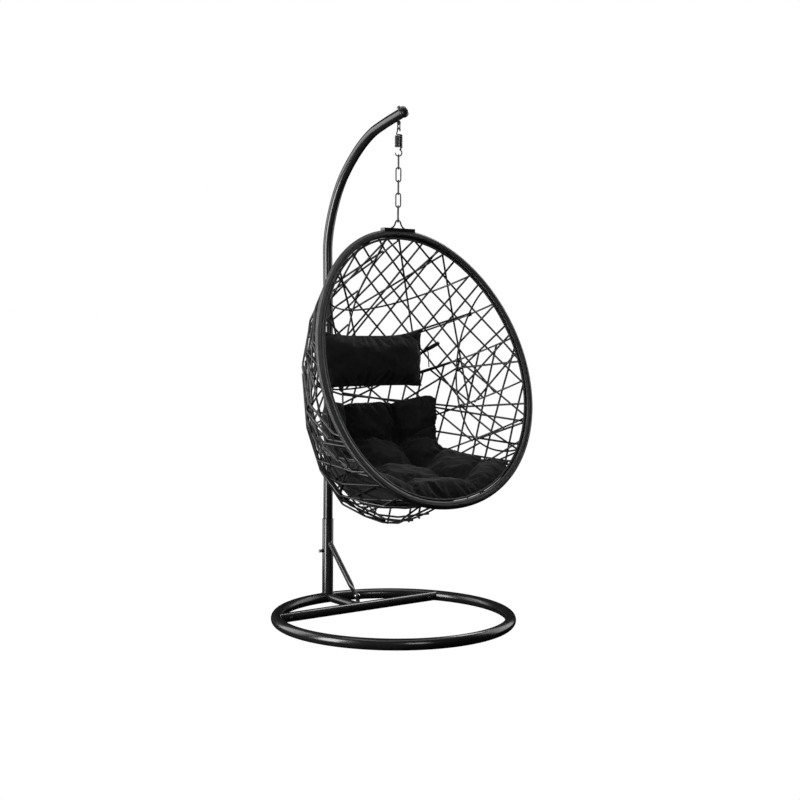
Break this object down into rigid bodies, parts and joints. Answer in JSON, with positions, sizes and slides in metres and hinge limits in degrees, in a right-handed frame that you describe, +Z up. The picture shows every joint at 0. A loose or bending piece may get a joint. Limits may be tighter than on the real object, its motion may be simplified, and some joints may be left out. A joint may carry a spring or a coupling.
{
  "type": "hanging egg chair",
  "caption": "Open-weave egg-shaped basket with a seat cushion and headrest pillow, hung by a spring and chain from a curved arm on a tubular ring base.",
  "frame": {"origin": "on the floor at the centre of the base ring", "axes": "+Z up; the basket's mouth faces -Y and the pole stands on the ring's back at +Y; +X is on the right seen from the front"},
  "size_m": [0.9704, 0.9474, 1.9566],
  "materials": {
    "black_steel": "satin black powder coat",
    "zinc": "dull zinc plate",
    "black_wicker": "smooth round woven strip, satin",
    "end_cap": "moulded",
    "black_fabric": "matt woven cover"
  },
  "bodies": {
    "stand": {"ring_rear_arc": "black_steel", "ring_front_arc": "black_steel", "cross_bar": "black_steel", "bar_spigot_left": "black_steel", "bar_spigot_right": "black_steel", "spur_tube": "black_steel", "pole_socket": "black_steel", "brace_tube": "black_steel", "brace_lug": "black_steel", "lock_nut": "black_steel", "hanging_arm": "black_steel", "ring_sleeve_left": "zinc", "ring_sleeve_right": "zinc", "bar_bolt_left": "zinc", "bar_bolt_right": "zinc", "bar_nut_left": "zinc", "bar_nut_right": "zinc", "brace_bolt": "zinc", "brace_nut": "zinc", "lock_screw": "zinc", "eye_bolt": "zinc", "eye_bolt_washer": "zinc", "eye_bolt_nut": "zinc", "arm_end_cap": "end_cap"},
    "top_link": {"top_link": "zinc"},
    "spring": {"spring": "zinc"},
    "spring_hook": {"spring_lower_hook": "zinc"},
    "link_1": {"chain_link_1": "zinc"},
    "link_2": {"chain_link_2": "zinc"},
    "link_3": {"chain_link_3": "zinc"},
    "link_4": {"chain_link_4": "zinc"},
    "snap_hook": {"snap_hook": "zinc", "snap_gate_pin": "zinc"},
    "snap_gate": {"snap_gate": "zinc"},
    "basket": {"hanger_loop": "black_steel", "hanger_plate": "black_steel", "rim_tube": "black_wicker", "rim_bead": "black_wicker", "basket_weave": "black_wicker", "cage_hoop_1": "black_steel", "cage_hoop_2": "black_steel", "cage_hoop_3": "black_steel", "cage_hoop_4": "black_steel", "cage_hoop_5": "black_steel", "cage_hoop_6": "black_steel", "cage_rib_left": "black_steel", "cage_rib_middle": "black_steel", "cage_rib_right": "black_steel", "seat_cushion": "black_fabric", "headrest_pillow": "black_fabric", "pillow_tie_left": "black_fabric", "pillow_tie_right": "black_fabric", "tie_tail_left": "black_fabric", "tie_tail_right": "black_fabric"}
  },
  "joints": [
    {"name": "swing_fore_aft", "type": "hinge", "parent": "stand", "child": "top_link", "pos_m": [0, -0.008, 1.8864], "axis": [-1, 0, 0], "range_deg": [-2, 12]},
    {"name": "swing_side", "type": "hinge", "parent": "top_link", "child": "spring", "pos_m": [0, -0.008, 1.86895], "axis": [0, 1, 0], "range_deg": [-8, 8]},
    {"name": "spring_stretch", "type": "slide", "parent": "spring", "child": "spring_hook", "axis": [0, 0, -1], "range_m": [0, 0.025], "stiffness_N_per_m": 25000, "springref_m": -0.013, "deforming": ["spring"]},
    {"name": "basket_swivel", "type": "hinge", "parent": "spring_hook", "child": "basket", "pos_m": [0, -0.008, 1.5265], "axis": [0, 0, 1], "range_deg": [-54, 54]},
    {"name": "link_1_twist", "type": "hinge", "parent": "spring_hook", "child": "link_1", "pos_m": [0, -0.008, 1.7715], "axis": [0, 0, 1], "range_deg": [-9, 9]},
    {"name": "link_2_twist", "type": "hinge", "parent": "spring_hook", "child": "link_2", "pos_m": [0, -0.008, 1.7238], "axis": [0, 0, 1], "range_deg": [-18, 18]},
    {"name": "link_3_twist", "type": "hinge", "parent": "spring_hook", "child": "link_3", "pos_m": [0, -0.008, 1.6761], "axis": [0, 0, 1], "range_deg": [-27, 27]},
    {"name": "link_4_twist", "type": "hinge", "parent": "spring_hook", "child": "link_4", "pos_m": [0, -0.008, 1.6284], "axis": [0, 0, 1], "range_deg": [-36, 36]},
    {"name": "snap_hook_twist", "type": "hinge", "parent": "spring_hook", "child": "snap_hook", "pos_m": [0, -0.008, 1.5809], "axis": [0, 0, 1], "range_deg": [-45, 45]},
    {"name": "snap_gate_swing", "type": "hinge", "parent": "snap_hook", "child": "snap_gate", "pos_m": [-0.00554, -0.01721, 1.5364], "axis": [-0.8571, 0.5151, 0], "range_deg": [0, 20], "stiffness_Nm_per_rad": 0.05, "springref_deg": -11.46}
  ],
  "couplings": [
    {"joint": "link_1_twist", "follows": "basket_swivel", "ratio": 0.16667},
    {"joint": "link_2_twist", "follows": "basket_swivel", "ratio": 0.33333},
    {"joint": "link_3_twist", "follows": "basket_swivel", "ratio": 0.5},
    {"joint": "link_4_twist", "follows": "basket_swivel", "ratio": 0.66667},
    {"joint": "snap_hook_twist", "follows": "basket_swivel", "ratio": 0.83333}
  ]
}
